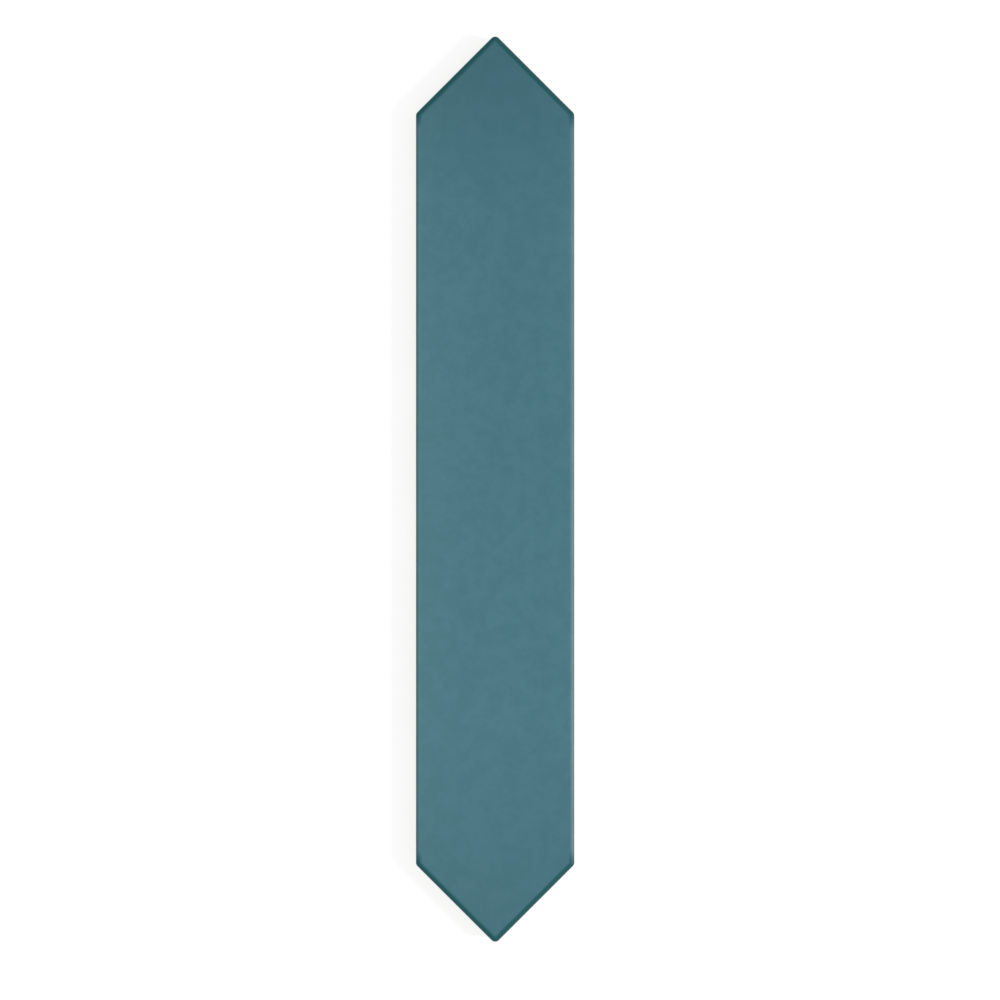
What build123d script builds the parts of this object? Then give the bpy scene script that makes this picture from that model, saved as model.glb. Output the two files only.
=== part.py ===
from build123d import *
import math
import os

# A picket wall tile: one pressed and fired ceramic piece, long and narrow, with a point at each end.
# It lies on its back with the glazed face up. X runs across the tile, Y from point to point, Z up.
# The origin is the middle of the back. Lengths are in millimetres and angles in degrees.

# Outline and section
length = 300.0             # point to point, over the rounded points
width = 52.5               # across the two long sides
thickness = 8.0            # back to glazed face
point_angle = 90.0         # between the two slanted sides of a point
arris_radius = 1.3         # rounded front edge, all round the glazed face
face_corner_radius = 0.4   # plan rounding at the corners of the flat of the face
foot_inset = 0.6           # how far the foot of each side leans in towards the back
foot_height = 2.5          # height of that leaning band above the back

# Keyed back
land_width = 4.5           # plain border between the foot of the sides and the flutes
flute_width = 5.0          # width of a flute at the back
flute_depth = 0.8
flute_draft = 25.0         # lean of the flute walls, so that the press can let go
least_rib_width = 2.0      # narrowest rib left standing between two flutes

half_angle = math.radians(point_angle / 2)
corner_radius = arris_radius + face_corner_radius
# A rounded point stops short of the sharp one by this much.
point_loss = corner_radius * (1 / math.sin(half_angle) - 1)
sharp_reach = length / 2 + point_loss


def picket(inset):
    """The sharp-cornered outline of the tile, drawn in by the same distance on every side."""
    half_width = width / 2 - inset
    tip = sharp_reach - inset / math.sin(half_angle)
    shoulder = tip - half_width / math.tan(half_angle)
    right = [(0, -tip), (half_width, -shoulder), (half_width, shoulder), (0, tip)]
    left = [(-half_width, shoulder), (-half_width, -shoulder)]
    return make_face(Polyline(*right, *left, close=True))


def pressed_blank():
    """The body before its back is keyed: eased front edge, upright sides and a leaning foot."""
    outline = picket(0)
    body = extrude(fillet(outline.vertices(), corner_radius), thickness)
    front = body.faces().sort_by(Axis.Z)[-1]
    body = fillet(front.edges(), arris_radius)
    back = body.faces().sort_by(Axis.Z)[0]
    return chamfer(back.edges(), foot_inset, foot_height, reference=back)


def keying_flutes():
    """Shallow flutes along the back, side by side, whose ends run parallel to the pointed outline."""
    border = foot_inset + land_width
    field_width = width - 2 * border
    count = int((field_width + least_rib_width) // (flute_width + least_rib_width))
    pitch = (field_width - flute_width) / max(count - 1, 1)
    strips = GridLocations(pitch, 0, count, 1) * Rectangle(flute_width, length)
    field = picket(border)
    return [extrude(field & strip, flute_depth, taper=flute_draft) for strip in strips]


picket_tile = pressed_blank() - keying_flutes()

os.makedirs("parts", exist_ok=True)
export_step(picket_tile, "parts/picket_tile.step")
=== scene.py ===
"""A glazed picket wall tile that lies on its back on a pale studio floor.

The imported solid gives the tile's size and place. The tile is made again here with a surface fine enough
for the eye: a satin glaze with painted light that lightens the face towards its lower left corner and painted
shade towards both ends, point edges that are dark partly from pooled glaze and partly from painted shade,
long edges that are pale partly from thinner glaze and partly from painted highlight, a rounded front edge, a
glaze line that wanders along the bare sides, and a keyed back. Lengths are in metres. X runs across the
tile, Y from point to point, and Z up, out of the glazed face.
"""

import logging
import math
from dataclasses import dataclass, field
from enum import Enum
from typing import Any, ClassVar

import bpy
import numpy as np
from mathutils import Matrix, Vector


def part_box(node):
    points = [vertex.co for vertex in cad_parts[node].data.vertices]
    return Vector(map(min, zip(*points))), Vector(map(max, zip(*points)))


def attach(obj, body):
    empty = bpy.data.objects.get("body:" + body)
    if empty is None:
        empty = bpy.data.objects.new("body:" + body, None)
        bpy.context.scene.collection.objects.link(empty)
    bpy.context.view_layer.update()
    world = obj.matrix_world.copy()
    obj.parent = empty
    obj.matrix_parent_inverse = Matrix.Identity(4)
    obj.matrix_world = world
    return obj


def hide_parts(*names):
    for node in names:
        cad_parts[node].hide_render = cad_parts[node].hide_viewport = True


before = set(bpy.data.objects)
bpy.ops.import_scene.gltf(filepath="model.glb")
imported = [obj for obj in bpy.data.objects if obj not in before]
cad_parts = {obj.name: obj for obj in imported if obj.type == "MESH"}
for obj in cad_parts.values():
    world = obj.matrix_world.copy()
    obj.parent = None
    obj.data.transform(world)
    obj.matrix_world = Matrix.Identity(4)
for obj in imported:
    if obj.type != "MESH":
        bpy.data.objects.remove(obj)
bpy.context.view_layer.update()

log = logging.getLogger("picket_tile")

MM = 0.001
NODE = "picket_tile"
PIECE = "glazed_tile"

Rgb = tuple[float, float, float]
Point = tuple[float, float, float]
Span = tuple[float, float]
Socket = bpy.types.NodeSocket
Number = float | Socket
Feeds = dict[str | int, Any]
Edges = tuple[Socket, Socket, Socket]

WHITE: Rgb = (1.0, 1.0, 1.0)


class Skin(Enum):
    """What covers a stretch of the tile's edge."""

    GLAZE = 1.0
    BARE = 0.0


class Mark(Enum):
    """Attributes that the tile's mesh carries while its node tree grows it."""

    GLAZED = "glazed"
    WANDER = "wander"


@dataclass(frozen=True)
class Waves:
    """A soft random pattern: its wave length, how many finer waves lie over it and how strong they are."""

    size: Number
    detail: float = 2.0
    rough: float = 0.5


@dataclass(frozen=True)
class Dots:
    """Scattered round dots: their mean distance, and the radius of one as a share of that."""

    spacing: float
    radius: float


class Graph:
    """A node tree under construction, with a short call for each kind of step that the tile needs."""

    MIDDLE = 0.5  # about which the noise swings
    DOT_CORE = 1 / 3  # share of a dot's radius inside its soft edge

    def __init__(self, tree: bpy.types.NodeTree) -> None:
        """Takes the tree that the nodes go into."""
        self.tree = tree

    def add(self, kind: str, sockets: Feeds | None = None, **options: Any) -> bpy.types.Node:
        """Adds one node.

        Args:
            kind: The node's type name.
            sockets: What goes into its inputs, by identifier, name or number.
            options: The node's own settings.

        Returns:
            The new node.
        """
        node = self.tree.nodes.new(kind)
        for name, value in options.items():
            setattr(node, name, value)
        for key, value in (sockets or {}).items():
            self.feed(node, key, value)
        return node

    def feed(self, node: bpy.types.Node, key: str | int, value: Any) -> None:
        """Links or sets one input of a node.

        Args:
            node: The node that is fed.
            key: The input's identifier, name or number.
            value: A socket to link, or a plain value to set.
        """
        target = self.pick(node.inputs, key)
        if isinstance(value, Socket):
            self.tree.links.new(value, target)
        else:
            target.default_value = value

    @staticmethod
    def pick(sockets: Any, key: str | int) -> Socket:
        """Finds a socket in use.

        Args:
            sockets: A node's inputs or outputs.
            key: The socket's identifier, name or number.

        Returns:
            The first socket in use that answers to the key.
        """
        if isinstance(key, int):
            return sockets[key]
        return next(s for s in sockets if s.enabled and key in (s.identifier, s.name))

    def axes(self, vector: Socket) -> tuple[Socket, Socket, Socket]:
        """Splits a vector into its three numbers."""
        return tuple(self.add("ShaderNodeSeparateXYZ", {"Vector": vector}).outputs)

    def math(self, operation: str, *values: Number) -> Socket:
        """Works out one number from others, by a Math node's operation."""
        return self.add("ShaderNodeMath", dict(enumerate(values)), operation=operation).outputs[0]

    def smooth(
        self, value: Number, low: Number, high: Number, start: Number = 0.0, end: Number = 1.0
    ) -> Socket:
        """Eases a number from one level to another.

        Args:
            value: The number that drives it.
            low: Where the change begins.
            high: Where the change ends.
            start: The level before it.
            end: The level after it.

        Returns:
            The eased number.
        """
        given = {"Value": value, "From Min": low, "From Max": high, "To Min": start, "To Max": end}
        return self.add("ShaderNodeMapRange", given, interpolation_type="SMOOTHSTEP").outputs[0]

    def noise(self, place: Socket, waves: Waves) -> Socket:
        """Lays a soft random pattern.

        Args:
            place: Where the surface is.
            waves: The pattern.

        Returns:
            A number about the middle of zero to one, seldom near either.
        """
        size = waves.size
        scale = self.math("DIVIDE", 1.0, size) if isinstance(size, Socket) else 1.0 / size
        given = {"Vector": place, "Scale": scale, "Detail": waves.detail, "Roughness": waves.rough}
        return self.add("ShaderNodeTexNoise", given).outputs[0]

    def sway(self, place: Socket, waves: Waves, reach: Number) -> Socket:
        """Makes a soft random swing about zero.

        Args:
            place: Where the surface is.
            waves: The pattern that the swing follows.
            reach: How far apart the ends of the widest swing lie.

        Returns:
            The swing.
        """
        centred = self.math("SUBTRACT", self.noise(place, waves), self.MIDDLE)
        return self.math("MULTIPLY", centred, reach)

    def dots(self, place: Socket, dots: Dots) -> Socket:
        """Scatters round dots with soft edges.

        Args:
            place: Where the surface is.
            dots: Their spacing and size.

        Returns:
            One in the core of a dot and zero outside it.
        """
        cells = self.add("ShaderNodeTexVoronoi", {"Vector": place, "Scale": 1 / dots.spacing})
        return self.smooth(cells.outputs["Distance"], dots.radius, dots.radius * self.DOT_CORE)

    def bump(self, height: Socket, depth: float, normal: Socket | None = None) -> Socket:
        """Turns a pattern into relief.

        Args:
            height: The pattern, from zero to one.
            depth: How far the surface rises over it.
            normal: Relief that is already there.

        Returns:
            The surface normal.
        """
        given = {"Height": height, "Distance": depth, "Strength": 1.0}
        under = {"Normal": normal} if normal else {}
        return self.add("ShaderNodeBump", given | under).outputs[0]

    def mix(self, share: Number, first: Socket | Rgb, second: Socket | Rgb) -> Socket:
        """Blends two colours.

        Args:
            share: How much of the second colour shows.
            first: The colour at zero.
            second: The colour at one.

        Returns:
            The blend.
        """
        first, second = (c if isinstance(c, Socket) else (*c, 1.0) for c in (first, second))
        given = {"Factor_Float": share, "A_Color": first, "B_Color": second}
        return self.pick(self.add("ShaderNodeMix", given, data_type="RGBA").outputs, "Result_Color")

    def seen(self) -> Socket:
        """Tells rays that show a surface from rays that only light one.

        Returns:
            One for a view that is straight, mirrored or through glass, and zero for light.
        """
        path = self.add("ShaderNodeLightPath").outputs
        shown = self.math("MAXIMUM", path["Is Camera Ray"], path["Is Glossy Ray"])
        return self.math("MAXIMUM", shown, path["Is Transmission Ray"])


def new_material(name: str) -> tuple[bpy.types.Material, Graph]:
    """Starts a material with an empty node tree.

    Args:
        name: The material's name.

    Returns:
        The material and its graph.
    """
    material = bpy.data.materials.new(name)
    material.use_nodes = True
    material.node_tree.nodes.clear()
    return material, Graph(material.node_tree)


def placed(name: str, data: Any) -> bpy.types.Object:
    """Puts a mesh, a lamp or a camera in the scene.

    Args:
        name: The object's name.
        data: What the object shows.

    Returns:
        The object, at the origin.
    """
    piece = bpy.data.objects.new(name, data)
    bpy.context.scene.collection.objects.link(piece)
    return piece


@dataclass(frozen=True)
class PicketPlan:
    """The pointed outline seen from above, as it is drawn in from its sharp corners."""

    half_width: float
    half_length: float
    corner_radius: float
    half_angle: float = math.radians(45)

    def tip(self, inset: float) -> float:
        """How far the sharp point lies from the middle when the outline is drawn in."""
        reach = self.half_length + self.corner_radius * (1 / math.sin(self.half_angle) - 1)
        return reach - inset / math.sin(self.half_angle)

    def side(self, inset: float) -> float:
        """How far a long side lies from the middle when the outline is drawn in."""
        return self.half_width - inset

    def end(self, across: np.ndarray | float, inset: np.ndarray | float) -> np.ndarray | float:
        """How far along the tile a slanted side lies, at some distances from the middle line."""
        return self.tip(inset) - np.abs(across) / math.tan(self.half_angle)

    @staticmethod
    def room(
        graph: Graph, place: Socket, side: Number, tip: Number, half_angle: Number
    ) -> tuple[Socket, Socket]:
        """Works out in nodes how far inside a pointed outline a place lies.

        Args:
            graph: The graph that works it out.
            place: Coordinates on the tile.
            side: How far the long sides lie from the middle.
            tip: How far the sharp points lie from the middle.
            half_angle: Half of the angle at a point.

        Returns:
            The distance to the nearer long side, and to the nearest slanted side.
        """
        across, along = (graph.math("ABSOLUTE", axis) for axis in graph.axes(place)[:2])
        slope = graph.math("DIVIDE", across, graph.math("TANGENT", half_angle))
        before = graph.math("SUBTRACT", graph.math("SUBTRACT", tip, slope), along)
        before = graph.math("MULTIPLY", before, graph.math("SINE", half_angle))
        return graph.math("SUBTRACT", side, across), before


@dataclass(frozen=True)
class TealGlaze:
    """Satin teal glaze: softly drifting colour with painted light towards the lower left and painted shade
    towards the ends, dark point edges partly pooled glaze and partly painted shade, pale long edges partly
    thinner glaze and partly painted highlight, and faint ripples.
    """

    plan: PicketPlan
    face_height: float
    # Tone of the flat of the face
    deep: Rgb = (0.059, 0.180, 0.230)
    light: Rgb = (0.076, 0.211, 0.259)
    tone_span: Span = (0.25, 0.75)
    # painted light: these two make the face lighter towards its lower left corner
    painted_light_share: float = 0.55
    painted_light_turn: float = 0.8
    bow_share: float = 0.27
    clouds: Waves = Waves(38 * MM, detail=3.0)
    cloud_share: float = 0.23
    streak_width: float = 7 * MM
    streak_length: float = 120 * MM
    # Pale long front edges: partly thinner glaze, partly painted highlight
    thin_and_lit: Rgb = (0.115, 0.225, 0.24)
    thin_and_lit_share: float = 0.6
    thin_and_lit_start: float = 2.1 * MM
    thin_and_lit_full: float = 0.9 * MM
    # Dark edges of the points and the uprights: partly pooled glaze, partly painted shade
    thick_and_shaded: Rgb = (0.0005, 0.080, 0.092)
    rim_start: float = 2.4 * MM
    rim_full: float = 1.15 * MM
    rim_wander: float = 0.5 * MM
    rim_waves: Waves = Waves(11 * MM)
    end_rim: float = 0.95
    shoulder_run: float = 6 * MM
    upright_rim: float = 0.75
    upright_drops: Span = (0.5 * MM, 1.5 * MM)
    # Painted shade towards both ends, and mottling
    shade: Rgb = (0.013, 0.070, 0.098)
    far_shade: float = 0.31
    far_start: float = 80 * MM
    near_shade: float = 0.24
    near_start: float = 70 * MM
    mottle: Waves = Waves(5 * MM, detail=3.0, rough=0.7)
    mottle_span: Span = (0.35, 0.65)
    mottle_share: float = 0.12
    # Satin surface
    roughness: Span = (0.39, 0.45)
    roughness_patches: Waves = Waves(13 * MM, detail=4.0)
    patch_span: Span = (0.25, 0.75)
    specular: float = 0.25
    ripples: Waves = Waves(1.6 * MM)
    ripple_height: float = 0.004 * MM
    pinholes: Dots = Dots(5 * MM, 0.08)
    pin_depth: float = 0.012 * MM

    def material(self) -> bpy.types.Material:
        """Builds the glaze.

        Returns:
            The material for the face, the front edge and the upper sides.
        """
        material, graph = new_material("satin_teal_glaze")
        place = graph.add("ShaderNodeTexCoord").outputs["Object"]
        edges = self.edges(graph, place)
        # pale long edges: partly thinner glaze, partly painted highlight
        colour = graph.mix(self.thinned_and_lit(graph, edges), self.tone(graph, place), self.thin_and_lit)
        # painted shade: the tone darkens towards both ends
        colour = graph.mix(self.ends(graph, place), colour, self.shade)
        patches = graph.noise(place, self.roughness_patches)
        ripples = graph.bump(graph.noise(place, self.ripples), self.ripple_height)
        unbroken = graph.math("SUBTRACT", 1.0, graph.dots(place, self.pinholes))
        shader = graph.add("ShaderNodeBsdfPrincipled", {
            # dark edges: partly pooled glaze, partly painted shade
            "Base Color": graph.mix(self.gathered_and_shaded(graph, place, edges), colour, self.thick_and_shaded),
            "Roughness": graph.smooth(patches, *self.patch_span, *self.roughness),
            "Specular IOR Level": self.specular,
            "Normal": graph.bump(unbroken, self.pin_depth, ripples),
        })
        graph.add("ShaderNodeOutputMaterial", {"Surface": shader.outputs[0]})
        return material

    def tone(self, graph: Graph, place: Socket) -> Socket:
        """Colour of the flat of the face: painted light that lightens it from the upper right corner towards
        the lower left, paler sides, soft clouds and streaks.

        Args:
            graph: The glaze's graph.
            place: Object coordinates.

        Returns:
            The colour.
        """
        across, along, _ = graph.axes(place)
        aside = graph.math("DIVIDE", across, self.plan.half_width)
        # painted light: the tone lightens from the upper right corner towards the lower left, for the fall of
        # light and a soft sheen
        slant = graph.math("MULTIPLY_ADD", along, self.painted_light_turn / self.plan.half_length, aside)
        lean = graph.smooth(slant, 1 + self.painted_light_turn, -1 - self.painted_light_turn)
        stretch = (1 / self.streak_width, 1 / self.streak_length, 1.0)
        stretched = graph.add("ShaderNodeMapping", {"Vector": place, "Scale": stretch}).outputs[0]
        streaks = graph.noise(stretched, Waves(size=1.0))
        drift = graph.math("MULTIPLY", streaks, 1 - self.painted_light_share - self.cloud_share)
        drift = graph.math("MULTIPLY_ADD", graph.noise(place, self.clouds), self.cloud_share, drift)
        drift = graph.math("MULTIPLY_ADD", lean, self.painted_light_share, drift)
        tone = graph.smooth(drift, *self.tone_span, 0.0, 1 - self.bow_share)
        tone = graph.math("MULTIPLY_ADD", graph.math("MULTIPLY", aside, aside), self.bow_share, tone)
        return graph.mix(tone, self.deep, self.light)

    def ends(self, graph: Graph, place: Socket) -> Socket:
        """Where painted shade darkens the tone slowly: towards both ends of the tile.

        Args:
            graph: The glaze's graph.
            place: Object coordinates.

        Returns:
            A share from zero to one.
        """
        along = graph.axes(place)[1]
        far = graph.smooth(along, self.far_start, self.plan.half_length, 0.0, self.far_shade)
        near = graph.smooth(along, -self.near_start, -self.plan.half_length, 0.0, self.near_shade)
        return graph.math("ADD", far, near)

    def edges(self, graph: Graph, place: Socket) -> Edges:
        """How near the edges of the face are, with a little stray so that no band runs quite straight.

        Args:
            graph: The glaze's graph.
            place: Object coordinates.

        Returns:
            The distances to the nearer long side and to the nearest slanted side, and a share that rises
            to one towards the shoulders, where these sides meet.
        """
        plan = self.plan
        stray = graph.sway(place, self.rim_waves, self.rim_wander)
        rooms = plan.room(graph, place, plan.side(0.0), plan.tip(0.0), plan.half_angle)
        beside, before = (graph.math("SUBTRACT", room, stray) for room in rooms)
        corner = float(plan.end(plan.half_width, 0.0))
        along = graph.math("ABSOLUTE", graph.axes(place)[1])
        return beside, before, graph.smooth(along, corner - self.shoulder_run, corner)

    def thinned_and_lit(self, graph: Graph, edges: Edges) -> Socket:
        """Where the long front edges are made pale, partly as thinner glaze and partly as painted highlight:
        over the front edge of the long sides, away from the shoulders.

        Args:
            graph: The glaze's graph.
            edges: What the edges method gives.

        Returns:
            A share from zero to one.
        """
        beside, _, shoulder = edges
        most = graph.math("MULTIPLY_ADD", shoulder, -self.thin_and_lit_share, self.thin_and_lit_share)
        return graph.smooth(beside, self.thin_and_lit_start, self.thin_and_lit_full, 0.0, most)

    def gathered_and_shaded(self, graph: Graph, place: Socket, edges: Edges) -> Socket:
        """Where the glaze is made dark: on the edges of the points and the uprights, partly pooled glaze and
        partly painted shade, and a faint mottle of pooled glaze.

        Args:
            graph: The glaze's graph.
            place: Object coordinates.
            edges: What the edges method gives.

        Returns:
            A share from zero to one.
        """
        beside, before, shoulder = edges
        # painted shade in part: the edges of the points and the uprights are darkened
        most = graph.math("MULTIPLY", shoulder, self.end_rim)
        side = graph.smooth(beside, self.rim_start, self.rim_full, 0.0, most)
        end = graph.smooth(before, self.rim_start, self.rim_full, 0.0, self.end_rim)
        drop = graph.math("SUBTRACT", self.face_height, graph.axes(place)[2])
        upright = graph.smooth(drop, *self.upright_drops, 0.0, self.upright_rim)
        thick_and_shaded = graph.smooth(graph.noise(place, self.mottle), *self.mottle_span, 0.0, self.mottle_share)
        for share in (side, end, upright):
            thick_and_shaded = graph.math("MAXIMUM", thick_and_shaded, share)
        return thick_and_shaded


@dataclass(frozen=True)
class FiredBody:
    """Bare fired clay of the sides and the back: pale and grainy, with specks, glaze mist and kiln wash."""

    pale: Rgb = (0.64, 0.585, 0.51)
    warm: Rgb = (0.53, 0.455, 0.375)
    clouds: Waves = Waves(22 * MM, detail=4.0)
    cloud_span: Span = (0.3, 0.7)
    speck: Rgb = (0.17, 0.125, 0.09)
    specks: Dots = Dots(2.4 * MM, 0.13)
    speck_cover: float = 0.55
    grain: Waves = Waves(0.45 * MM, detail=3.0, rough=0.6)
    grain_height: float = 0.05 * MM
    grain_span: Span = (0.5, 0.75)
    grain_shade: float = 0.22
    # Glaze mist on the sides
    mist: Rgb = (0.10, 0.24, 0.27)
    mist_drops: Dots = Dots(0.7 * MM, 0.34)
    mist_heights: Span = (2.2 * MM, 6.0 * MM)
    mist_cover: float = 0.6
    # Kiln wash on the back
    wash: Rgb = (0.76, 0.735, 0.69)
    wash_height: float = 0.3 * MM
    wash_patches: Waves = Waves(6 * MM, detail=8.0, rough=0.65)
    wash_span: Span = (0.44, 0.6)
    wash_cover: float = 0.5
    # Dull surface
    roughness: float = 0.9

    def material(self) -> bpy.types.Material:
        """Builds the bare clay.

        Returns:
            The material for the sides below the glaze and for the back.
        """
        material, graph = new_material("fired_body")
        place = graph.add("ShaderNodeTexCoord").outputs["Object"]
        grain = graph.noise(place, self.grain)
        clay = self.clay(graph, place, grain)
        shader = graph.add("ShaderNodeBsdfPrincipled", {
            "Base Color": self.sprayed(graph, place, self.washed(graph, place, clay)),
            "Roughness": self.roughness,
            "Normal": graph.bump(grain, self.grain_height),
        })
        graph.add("ShaderNodeOutputMaterial", {"Surface": shader.outputs[0]})
        return material

    def clay(self, graph: Graph, place: Socket, grain: Socket) -> Socket:
        """Colour of the clay itself.

        Args:
            graph: The clay's graph.
            place: Object coordinates.
            grain: Pattern of the clay's grain.

        Returns:
            Pale and warm clouds with shaded grain and dark specks.
        """
        cloud = graph.smooth(graph.noise(place, self.clouds), *self.cloud_span)
        shade = graph.smooth(grain, *self.grain_span, 0.0, self.grain_shade)
        clay = graph.mix(shade, graph.mix(cloud, self.pale, self.warm), self.speck)
        specks = graph.math("MULTIPLY", graph.dots(place, self.specks), self.speck_cover)
        return graph.mix(specks, clay, self.speck)

    def washed(self, graph: Graph, place: Socket, clay: Socket) -> Socket:
        """Chalky kiln wash, worn to patches, on what the tile stood on in the kiln.

        Args:
            graph: The clay's graph.
            place: Object coordinates.
            clay: Colour of the clay.

        Returns:
            The colour with the wash over it.
        """
        low = graph.smooth(graph.axes(place)[2], self.wash_height, 0.0, 0.0, self.wash_cover)
        patches = graph.smooth(graph.noise(place, self.wash_patches), *self.wash_span)
        return graph.mix(graph.math("MULTIPLY", low, patches), clay, self.wash)

    def sprayed(self, graph: Graph, place: Socket, clay: Socket) -> Socket:
        """Fine drops of glaze on the sides, closer together towards the glaze line.

        Args:
            graph: The clay's graph.
            place: Object coordinates.
            clay: Colour of the clay.

        Returns:
            The colour with the drops over it.
        """
        cover = graph.smooth(graph.axes(place)[2], *self.mist_heights, 0.0, self.mist_cover)
        drops = graph.math("MULTIPLY", graph.dots(place, self.mist_drops), cover)
        return graph.mix(drops, clay, self.mist)


@dataclass(frozen=True)
class KeyedBack:
    """Shallow flutes pressed into the back, side by side, which key into the adhesive."""

    plan: PicketPlan
    border: float
    flute_width: float = 5.0 * MM
    flute_depth: float = 0.8 * MM
    wall_run: float = 0.6 * MM
    least_rib: float = 2.0 * MM
    wall_steps: int = 4

    @property
    def count(self) -> int:
        """How many flutes fit across the field inside the border."""
        field_width = 2 * self.plan.side(self.border)
        return int((field_width + self.least_rib) // (self.flute_width + self.least_rib))

    @property
    def pitch(self) -> float:
        """Spacing of the flutes."""
        return (2 * self.plan.side(self.border) - self.flute_width) / max(self.count - 1, 1)

    def wall(self) -> np.ndarray:
        """Distances into a flute at which its wall is drawn."""
        return np.linspace(0.0, self.wall_run, self.wall_steps + 1)

    def lines(self) -> np.ndarray:
        """Where the flute walls run.

        Returns:
            Distances from the middle line, over both walls of every flute.
        """
        starts = self.pitch * np.arange(self.count) - self.plan.side(self.border)
        walls = np.concatenate((self.wall(), self.flute_width - self.wall()))
        return np.add.outer(starts, walls).ravel()


@dataclass(frozen=True)
class SectionRow:
    """One line round the tile's edge: how far out and how high, what covers it and how much it wanders."""

    out: float
    height: float
    skin: Skin
    wander: float = 0.0


@dataclass(frozen=True)
class EdgeSection:
    """The section of the tile's edge, from the flat of the face over the front edge and down to the back."""

    thickness: float
    arris_radius: float = 1.3 * MM
    arris_steps: int = 12
    glaze_drop: float = 3.0 * MM
    glaze_coat: float = 0.12 * MM
    bead_height: float = 0.36 * MM
    bead_swell: float = 0.03 * MM
    bare_step: float = 0.48 * MM
    foot_inset: float = 0.6 * MM
    foot_height: float = 2.5 * MM
    toe_height: float = 0.75 * MM
    toe_radius: float = 0.25 * MM
    toe_steps: int = 3

    @property
    def glaze_end(self) -> float:
        """Height at which the glaze ends."""
        return self.thickness - self.glaze_drop

    @property
    def lean(self) -> float:
        """How far out the foot's side goes for each step up."""
        return (self.foot_inset - self.glaze_coat) / self.foot_height

    def rows(self) -> list[SectionRow]:
        """The section from line to line.

        Returns:
            The lines in order, from the face to the back.
        """
        glazed = [(Skin.GLAZE, *place) for place in (*self.arris(), *self.glazed_side())]
        bare = [(Skin.BARE, *place) for place in (*self.bare_side(), *self.toe())]
        return [SectionRow(out, height, skin, self.wander(height)) for skin, out, height in glazed + bare]

    def wander(self, height: float) -> float:
        """How far a line follows the glaze line up and down: fully at it, and less the further away."""
        reach = self.glaze_drop - self.arris_radius
        return max(0.0, 1 - abs(height - self.glaze_end) / reach)

    @staticmethod
    def quarter(middle: Span, radius: float, start: float, steps: int) -> list[Span]:
        """Walks a quarter round.

        Args:
            middle: How far out and how high its middle lies.
            radius: Its radius.
            start: Angle of its first point, counted outwards from straight up.
            steps: How many steps it takes.

        Returns:
            Places out and up.
        """
        turns = start + np.linspace(0.0, math.pi / 2, steps + 1)
        return [(middle[0] + radius * math.sin(t), middle[1] + radius * math.cos(t)) for t in turns]

    def arris(self) -> list[Span]:
        """The rounded front edge, from the face to upright."""
        middle = (0.0, self.thickness - self.arris_radius)
        return self.quarter(middle, self.arris_radius, 0.0, self.arris_steps)

    def glazed_side(self) -> list[Span]:
        """The upright stretch under the front edge.

        Returns:
            Places down to the low bead that the glaze ends in.
        """
        side, coat, swell, end = self.arris_radius, self.glaze_coat, self.bead_swell, self.glaze_end
        halfway = (self.thickness - self.arris_radius + end) / 2
        bead = [(side + swell, end + coat), (side, end + swell), (side - coat / 2, end)]
        return [(side, halfway), (side, end + self.bead_height), *bead]

    def bare_side(self) -> list[Span]:
        """The bare clay under the glaze, set back by the thickness of the coat.

        Returns:
            Places down to where the foot begins to lean in, and a little past it.
        """
        side, bend = self.arris_radius - self.glaze_coat, self.toe_radius
        top = [(side, self.glaze_end - self.bead_swell), (side, self.glaze_end - self.bare_step)]
        foot = [(side, self.foot_height + bend), (side - self.lean * bend, self.foot_height - bend)]
        return top + foot

    def toe(self) -> list[Span]:
        """The lowest edge.

        Returns:
            Places down the leaning foot, round its small radius and in under the back.
        """
        out, small = self.arris_radius - self.foot_inset, self.toe_radius
        above = (out + self.lean * self.toe_height, self.toe_height)
        return [above, *self.quarter((out - small, small), small, math.pi / 2, self.toe_steps), (0.0, 0.0)]

    def line(self) -> bpy.types.Object:
        """The section as a line that carries its marks.

        A sweep turns the line so that its X points outwards and its Y down.

        Returns:
            The line's object.
        """
        rows = self.rows()
        mesh = bpy.data.meshes.new("edge_section")
        points = [(row.out, -row.height, 0.0) for row in rows]
        mesh.from_pydata(points, [(k, k + 1) for k in range(len(rows) - 1)], [])
        values = {Mark.GLAZED: [row.skin.value for row in rows], Mark.WANDER: [row.wander for row in rows]}
        for mark, levels in values.items():
            mesh.attributes.new(mark.value, "FLOAT", "POINT").data.foreach_set("value", levels)
        return placed("edge_section", mesh)


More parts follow.
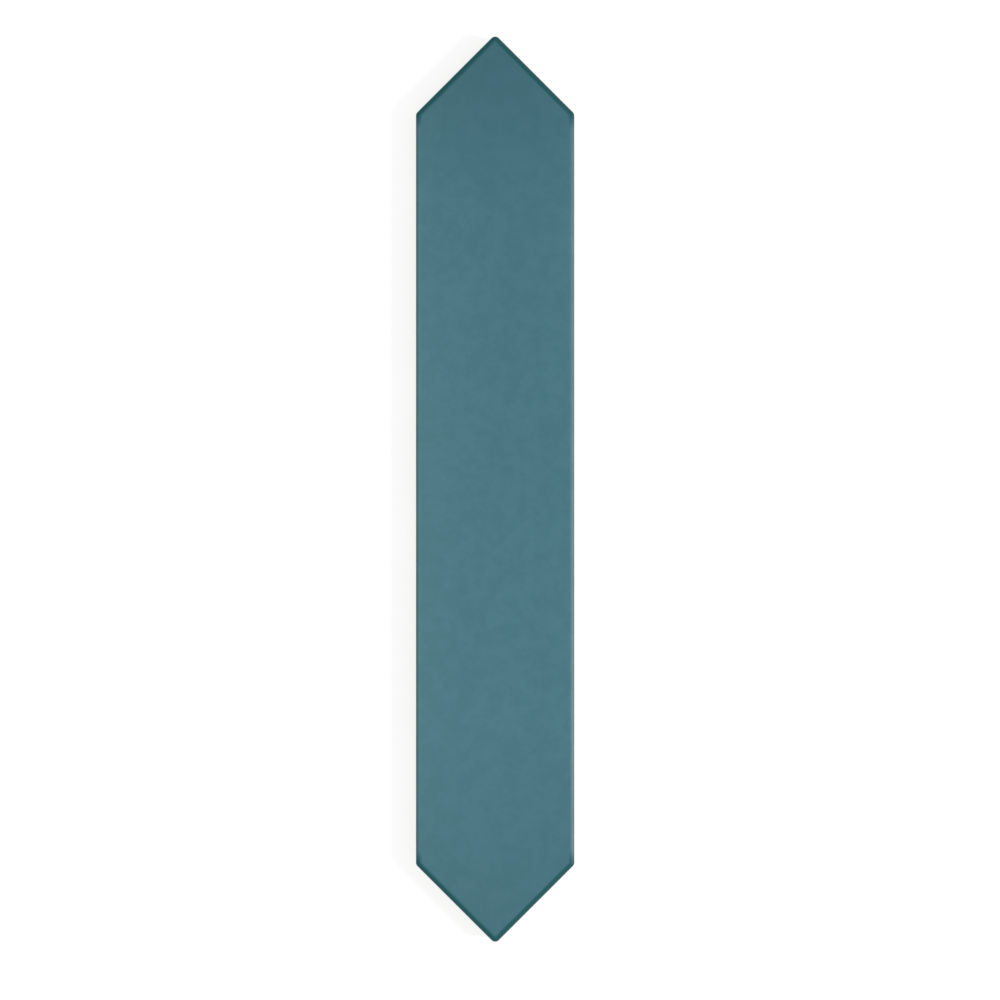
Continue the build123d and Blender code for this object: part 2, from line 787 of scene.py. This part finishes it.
@dataclass(frozen=True)
class FaceSheet:
    """The flat of the face as a thin sheet, in columns along the tile and rows that follow its points."""

    plan: PicketPlan
    back: KeyedBack
    corner_radius: float
    column_step: float = 1.4 * MM
    row_step: float = 2.0 * MM
    end_zone: float = 9 * MM
    fan_step: float = math.radians(11.25)
    DECIMALS: ClassVar[int] = 9  # lines closer together than a nanometre are one

    @classmethod
    def graded(cls, stops: np.ndarray, low: float, high: float, step: float) -> np.ndarray:
        """Lines over a stretch that keep every stop and fill the spaces between with even steps.

        Args:
            stops: Lines that have to be there.
            low: Start of the stretch.
            high: End of the stretch.
            step: Widest space left between two lines.

        Returns:
            The lines, in order.
        """
        kept = np.unique(np.round(np.concatenate(([low], stops, [high])), cls.DECIMALS))
        gaps = zip(kept[:-1], kept[1:])
        runs = [np.linspace(a, b, math.ceil((b - a) / step), endpoint=False) for a, b in gaps]
        return np.append(np.concatenate(runs), high)

    def grid(self) -> np.ndarray:
        """Points over the sheet, up to the middles of its round corners.

        Returns:
            An array of columns by rows by the two plan coordinates.
        """
        drawn_in = self.plan.corner_radius
        side = self.plan.side(drawn_in)
        across = self.graded(np.append(self.back.lines(), 0.0), -side, side, self.column_step)[:, None]
        walls = self.back.border - drawn_in + self.back.wall()
        inset = drawn_in + self.graded(walls, 0.0, self.end_zone, self.row_step)
        ends = self.plan.end(across, inset[None, :])
        inner = ends[:, -1:]
        steps = math.ceil(2 * float(inner.max()) / self.row_step)
        middle = inner * np.linspace(-1, 1, steps + 1)[None, 1:-1]
        along = np.concatenate((-ends, middle, ends[:, ::-1]), axis=1)
        return np.stack((np.broadcast_to(across, along.shape), along), axis=2)

    def border(self, number: np.ndarray) -> tuple[np.ndarray, np.ndarray]:
        """Walks round the grid, fanning out at each corner.

        Args:
            number: The numbers of the grid's points, in columns by rows.

        Returns:
            The number of the grid point at each step, and the direction that faces outwards there.
        """
        mid, slant = len(number) // 2, self.plan.half_angle
        runs = [
            (0.0, number[-1, :]),
            (slant, number[mid:, -1][::-1]),
            (math.pi - slant, number[: mid + 1, -1][::-1]),
            (math.pi, number[0, ::-1]),
            (math.pi + slant, number[: mid + 1, 0]),
            (2 * math.pi - slant, number[mid:, 0]),
        ]
        turns = [angle for angle, _ in runs[1:]] + [2 * math.pi]
        points, facing = [], []
        for (angle, run), after in zip(runs, turns):
            fan = np.linspace(angle, after, round((after - angle) / self.fan_step) + 1)[1:-1]
            points += [run, np.full(len(fan), run[-1])]
            facing += [np.full(len(run), angle), fan]
        return np.concatenate(points), np.concatenate(facing)

    def sheet(self) -> bpy.types.Object:
        """The sheet's mesh: the grid, and a ring round it with the rounded corners.

        Returns:
            The sheet's object.
        """
        grid = self.grid()
        flat = grid.reshape(-1, 2)
        number = np.arange(len(flat)).reshape(grid.shape[:2])
        inner, facing = self.border(number)
        outer = flat[inner] + self.corner_radius * np.stack((np.cos(facing), np.sin(facing)), axis=1)
        quads = np.stack((number[:-1, :-1], number[1:, :-1], number[1:, 1:], number[:-1, 1:]), axis=2)
        faces = quads.reshape(-1, 4).tolist()
        ring = len(flat) + np.arange(len(inner))
        for a, b, c, d in zip(inner, ring, np.roll(ring, -1), np.roll(inner, -1)):
            faces.append((a, b, c) if a == d else (a, b, c, d))
        points = np.pad(np.concatenate((flat, outer)), ((0, 0), (0, 1)))
        mesh = bpy.data.meshes.new("face_sheet")
        mesh.from_pydata(points.tolist(), [], faces)
        return placed("face_sheet", mesh)


class TileTree:
    """Node tree that grows a tile from its sheet: face, keyed back and edge, then what the kiln does."""

    KINDS = {
        float: "NodeSocketFloat",
        bpy.types.Object: "NodeSocketObject",
        bpy.types.Material: "NodeSocketMaterial",
    }
    WELD = 0.001 * MM
    INNER_EDGE_FACES = 2.0
    THREE_CORNERS = 0.75  # mean mark of a face with three of its four corners glazed

    def __init__(self, sizes: dict[str, Any]) -> None:
        """Builds the tree.

        Args:
            sizes: The tree's inputs by name, each with its value.
        """
        self.sizes = sizes
        self.tree = bpy.data.node_groups.new("tile_body", "GeometryNodeTree")
        for way in ("INPUT", "OUTPUT"):
            self.tree.interface.new_socket("Geometry", in_out=way, socket_type="NodeSocketGeometry")
        self.keys = {name: self.declared(name, value) for name, value in sizes.items()}
        self.graph = Graph(self.tree)
        self.given = self.graph.add("NodeGroupInput").outputs
        self.place = self.graph.add("GeometryNodeInputPosition").outputs[0]
        fired = self.fired(self.welded([self.face(), self.back(), self.edge()]))
        self.graph.add("NodeGroupOutput", {"Geometry": self.finished(fired)})

    def declared(self, name: str, value: Any) -> str:
        """Adds one named input of the kind that its value has.

        Args:
            name: The input's name.
            value: A value that it will hold.

        Returns:
            The input's identifier.
        """
        kind = next(kind for sort, kind in self.KINDS.items() if isinstance(value, sort))
        return self.tree.interface.new_socket(name, in_out="INPUT", socket_type=kind).identifier

    def grow(self, sheet: bpy.types.Object) -> bpy.types.Mesh:
        """Runs the tree on a sheet.

        Args:
            sheet: The flat of the face.

        Returns:
            The tile as a plain mesh.
        """
        modifier = sheet.modifiers.new("tile_body", "NODES")
        modifier.node_group = self.tree
        for name, value in self.sizes.items():
            modifier[self.keys[name]] = value
        state = bpy.context.evaluated_depsgraph_get()
        grown = sheet.evaluated_get(state)
        mesh = bpy.data.meshes.new_from_object(grown, preserve_all_data_layers=True, depsgraph=state)
        sheet.modifiers.remove(modifier)
        return mesh

    def lifted(self, geometry: Socket, height: Number) -> Socket:
        """Raises a geometry by a height, which may differ from point to point."""
        rise = self.graph.add("ShaderNodeCombineXYZ", {"Z": height}).outputs[0]
        return self.graph.add("GeometryNodeSetPosition", {"Geometry": geometry, "Offset": rise}).outputs[0]

    def mark(self, mark: Mark) -> Socket:
        """Reads one mark of the geometry that it is used on."""
        node = self.graph.add("GeometryNodeInputNamedAttribute", {"Name": mark.value}, data_type="FLOAT")
        return self.graph.pick(node.outputs, "Attribute")

    def dressed(self, geometry: Socket, finish: str, where: Socket | bool = True) -> Socket:
        """Gives a finish to a geometry, or to the part of it that is asked for."""
        given = {"Geometry": geometry, "Selection": where, "Material": self.given[finish]}
        return self.graph.add("GeometryNodeSetMaterial", given).outputs[0]

    def face(self) -> Socket:
        """The glazed face: the sheet at its full height.

        Returns:
            The face's geometry, marked as glazed.
        """
        raised = self.dressed(self.lifted(self.given["Geometry"], self.given["Thickness"]), "Glaze")
        given = {"Geometry": raised, "Name": Mark.GLAZED.value, "Value": Skin.GLAZE.value}
        return self.graph.add("GeometryNodeStoreNamedAttribute", given, data_type="FLOAT").outputs[0]

    def back(self) -> Socket:
        """The back: the sheet turned over, with flutes pressed up into it.

        Returns:
            The back's geometry.
        """
        graph, given = self.graph, self.given
        turned = graph.add("GeometryNodeFlipFaces", {"Mesh": given["Geometry"]}).outputs[0]
        field_half, field_tip = given["Field Half Width"], given["Field Tip"]
        beside, before = PicketPlan.room(graph, self.place, field_half, field_tip, given["Half Angle"])
        start = graph.math("ADD", graph.axes(self.place)[0], field_half)
        into = graph.math("FLOORED_MODULO", start, given["Flute Pitch"])
        depth = graph.math("MULTIPLY", given["Flute Depth"], graph.math("GREATER_THAN", beside, 0.0))
        for wall in (into, graph.math("SUBTRACT", given["Flute Width"], into), before):
            depth = graph.math("MULTIPLY", depth, graph.smooth(wall, 0.0, given["Wall Run"]))
        return self.dressed(self.lifted(turned, depth), "Body")

    def edge(self) -> Socket:
        """The edge: its section swept round the sheet's border.

        Returns:
            The edge's geometry, open towards the face and the back.
        """
        graph, given = self.graph, self.given
        faces = graph.add("GeometryNodeInputMeshEdgeNeighbors").outputs[0]
        outermost = graph.math("LESS_THAN", faces, self.INNER_EDGE_FACES)
        border = graph.add("GeometryNodeMeshToCurve", {"Mesh": given["Geometry"], "Selection": outermost})
        path = graph.add("GeometryNodeSetCurveNormal", {"Curve": border.outputs[0]}, mode="Z_UP")
        drawn = graph.add("GeometryNodeObjectInfo", {"Object": given["Edge Section"]})
        section = graph.add("GeometryNodeMeshToCurve", {"Mesh": drawn.outputs["Geometry"]})
        lines = {"Curve": path.outputs[0], "Profile Curve": section.outputs[0]}
        return self.dressed(graph.add("GeometryNodeCurveToMesh", lines).outputs[0], "Body")

    def welded(self, parts: list[Socket]) -> Socket:
        """Joins the tile's surfaces into one closed skin.

        Args:
            parts: The surfaces.

        Returns:
            The skin's geometry.
        """
        joined = self.graph.add("GeometryNodeJoinGeometry")
        for part in parts:
            self.tree.links.new(part, joined.inputs[0])
        given = {"Geometry": joined.outputs[0], "Distance": self.WELD}
        return self.graph.add("GeometryNodeMergeByDistance", given).outputs[0]

    def fired(self, geometry: Socket) -> Socket:
        """Faint waves in the glaze, and a glaze line that wanders up and down the sides.

        Args:
            geometry: The closed skin.

        Returns:
            The tile as it comes out of the kiln.
        """
        graph, given = self.graph, self.given
        seed = graph.add("ShaderNodeCombineXYZ", {"Z": given["Seed"]}).outputs[0]
        place = graph.add("ShaderNodeVectorMath", {0: self.place, 1: seed}, operation="ADD").outputs[0]
        wave = graph.sway(place, Waves(given["Wave Size"], detail=1.0), given["Wave Height"])
        wave = graph.math("MULTIPLY", wave, self.mark(Mark.GLAZED))
        outwards = {0: graph.add("GeometryNodeInputNormal").outputs[0], "Scale": wave}
        push = graph.add("ShaderNodeVectorMath", outwards, operation="SCALE").outputs[0]
        waved = graph.add("GeometryNodeSetPosition", {"Geometry": geometry, "Offset": push}).outputs[0]
        fall = graph.sway(place, Waves(given["Wander Size"]), given["Wander Height"])
        fall = graph.math("MULTIPLY", fall, self.mark(Mark.WANDER))
        return self.lifted(waved, fall)

    def finished(self, geometry: Socket) -> Socket:
        """Glaze on the face and the upper edge, bare clay on the rest, all shaded smooth.

        Args:
            geometry: The fired tile.

        Returns:
            The dressed geometry.
        """
        solid = self.graph.add("GeometryNodeRealizeInstances", {"Geometry": geometry}).outputs[0]
        smooth = self.graph.add("GeometryNodeSetShadeSmooth", {"Geometry": solid}).outputs[0]
        covered = self.graph.math("GREATER_THAN", self.mark(Mark.GLAZED), self.THREE_CORNERS)
        return self.dressed(self.dressed(smooth, "Body"), "Glaze", covered)


@dataclass
class PicketTile:
    """The tile: its plan, edge, keyed back and finishes, grown into one closed mesh."""

    width: float
    length: float
    thickness: float
    face_corner_radius: float = 0.4 * MM
    land_width: float = 4.5 * MM
    wave_height: float = 0.05 * MM
    wave_size: float = 26 * MM
    wander_height: float = 1.3 * MM
    wander_size: float = 9 * MM
    seed: float = 4.0
    body: FiredBody = FiredBody()
    edge: EdgeSection = field(init=False)
    plan: PicketPlan = field(init=False)
    back: KeyedBack = field(init=False)
    glaze: TealGlaze = field(init=False)

    def __post_init__(self) -> None:
        """Works out the edge, the plan, the back and the glaze from the tile's sizes."""
        self.edge = EdgeSection(self.thickness)
        corner = self.edge.arris_radius + self.face_corner_radius
        self.plan = PicketPlan(self.width / 2, self.length / 2, corner)
        self.back = KeyedBack(self.plan, self.edge.foot_inset + self.land_width)
        self.glaze = TealGlaze(self.plan, self.thickness)

    def sizes(self, section: bpy.types.Object) -> dict[str, Any]:
        """What the tile's node tree is given.

        Args:
            section: The edge's section as a line.

        Returns:
            The inputs' values by name.
        """
        return {
            "Edge Section": section,
            "Thickness": self.thickness,
            "Half Angle": self.plan.half_angle,
            "Field Half Width": self.plan.side(self.back.border),
            "Field Tip": self.plan.tip(self.back.border),
            "Flute Width": self.back.flute_width,
            "Flute Depth": self.back.flute_depth,
            "Flute Pitch": self.back.pitch,
            "Wall Run": self.back.wall_run,
            "Wave Height": self.wave_height,
            "Wave Size": self.wave_size,
            "Wander Height": self.wander_height,
            "Wander Size": self.wander_size,
            "Seed": self.seed,
            "Glaze": self.glaze.material(),
            "Body": self.body.material(),
        }

    def build(self) -> bpy.types.Object:
        """Grows the tile from its sheet and its edge section.

        Returns:
            The finished tile, a plain mesh at the origin.
        """
        sheet = FaceSheet(self.plan, self.back, self.face_corner_radius).sheet()
        section = self.edge.line()
        mesh = TileTree(self.sizes(section)).grow(sheet)
        for spare in (sheet, section):
            bpy.data.objects.remove(spare)
        for mark in Mark:
            mesh.attributes.remove(mesh.attributes[mark.value])
        mesh.name = PIECE
        return placed(PIECE, mesh)

    def dress(self, piece: bpy.types.Object) -> None:
        """Says which body the tile rides on, and hides the solid that it stands for.

        Args:
            piece: The finished tile.
        """
        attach(piece, "root")
        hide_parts(NODE)


@dataclass(frozen=True)
class SoftBox:
    """One square soft lamp that faces the tile."""

    name: str
    place: Point
    size: float
    power: float
    colour: Rgb = WHITE

    def hang(self) -> None:
        """Puts the lamp in the scene."""
        lamp = bpy.data.lights.new(self.name, "AREA")
        lamp.size, lamp.energy, lamp.color = self.size, self.power, self.colour
        hung = placed(self.name, lamp)
        hung.location = self.place
        hung.rotation_euler = Vector(self.place).to_track_quat("Z", "Y").to_euler()


@dataclass
class Studio:
    """Pale floor, soft light and a camera that looks straight down on the tile."""

    view_width: float = 331.4 * MM
    look_at: tuple[float, float] = (1.6 * MM, -3.6 * MM)
    look_height: float = 6.7 * MM
    lens_mm: float = 100.0
    sensor_mm: float = 36.0
    floor_half: float = 12.0
    floor_gap: float = 0.2 * MM
    floor_grey: float = 0.5
    floor_glow: float = 0.685
    sky_light: float = 0.54
    boxes: tuple[SoftBox, ...] = (
        SoftBox("side_box", place=(1.12, -0.2, 0.86), size=0.3, power=10.6, colour=(1.0, 0.98, 0.94)),
        SoftBox("top_box", place=(-0.3, -0.5, 2.0), size=1.6, power=3.2),
    )

    def build(self) -> None:
        """Sets up the floor, the light and the camera."""
        self.floor()
        self.sky()
        for box in self.boxes:
            box.hang()
        self.camera()
        bpy.context.scene.view_settings.view_transform = "Standard"

    def floor(self) -> bpy.types.Object:
        """Lays a wide pale floor that takes the tile's shadow and shows white to the camera.

        Returns:
            The floor.
        """
        far, low = self.floor_half, -self.floor_gap
        corners = [(-far, -far, low), (far, -far, low), (far, far, low), (-far, far, low)]
        mesh = bpy.data.meshes.new("studio_floor")
        mesh.from_pydata(corners, [], [(0, 1, 2, 3)])
        material, graph = new_material("studio_floor")
        grey = (self.floor_grey,) * 3
        plain = graph.add("ShaderNodeBsdfDiffuse", {"Color": (*grey, 1.0)}).outputs[0]
        strength = graph.math("MULTIPLY", graph.seen(), self.floor_glow)
        glow = graph.add("ShaderNodeEmission", {"Strength": strength}).outputs[0]
        both = graph.add("ShaderNodeAddShader", {0: plain, 1: glow}).outputs[0]
        graph.add("ShaderNodeOutputMaterial", {"Surface": both})
        mesh.materials.append(material)
        return placed("studio_floor", mesh)

    def sky(self) -> None:
        """Lights the tile evenly from all round, in a sky as pale as the far floor, so no horizon shows."""
        world = bpy.data.worlds.new("studio_sky")
        bpy.context.scene.world = world
        world.use_nodes = True
        world.node_tree.nodes.clear()
        graph = Graph(world.node_tree)
        far_floor = self.floor_grey * self.sky_light + self.floor_glow
        strength = graph.smooth(graph.seen(), 0.0, 1.0, self.sky_light, far_floor)
        glow = graph.add("ShaderNodeBackground", {"Color": (*WHITE, 1.0), "Strength": strength})
        graph.add("ShaderNodeOutputWorld", {"Surface": glow.outputs[0]})

    def camera(self) -> None:
        """Places the camera above the tile, with the tile upright in the picture."""
        lens = bpy.data.cameras.new("camera")
        lens.lens, lens.sensor_width = self.lens_mm, self.sensor_mm
        stand = placed("camera", lens)
        stand.location = (*self.look_at, self.look_height + self.view_width * self.lens_mm / self.sensor_mm)
        bpy.context.scene.camera = stand


def main() -> None:
    """Builds the tile and its studio."""
    logging.basicConfig(level=logging.INFO, format="%(name)s: %(message)s")
    low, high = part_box(NODE)
    tile = PicketTile(*(high - low))
    piece = tile.build()
    tile.dress(piece)
    log.info("%s: %d faces, %d flutes on its back", piece.name, len(piece.data.polygons), tile.back.count)
    studio = Studio()
    studio.build()
    log.info("studio: floor, sky, camera and %d soft boxes", len(studio.boxes))


if __name__ == "__main__":
    main()
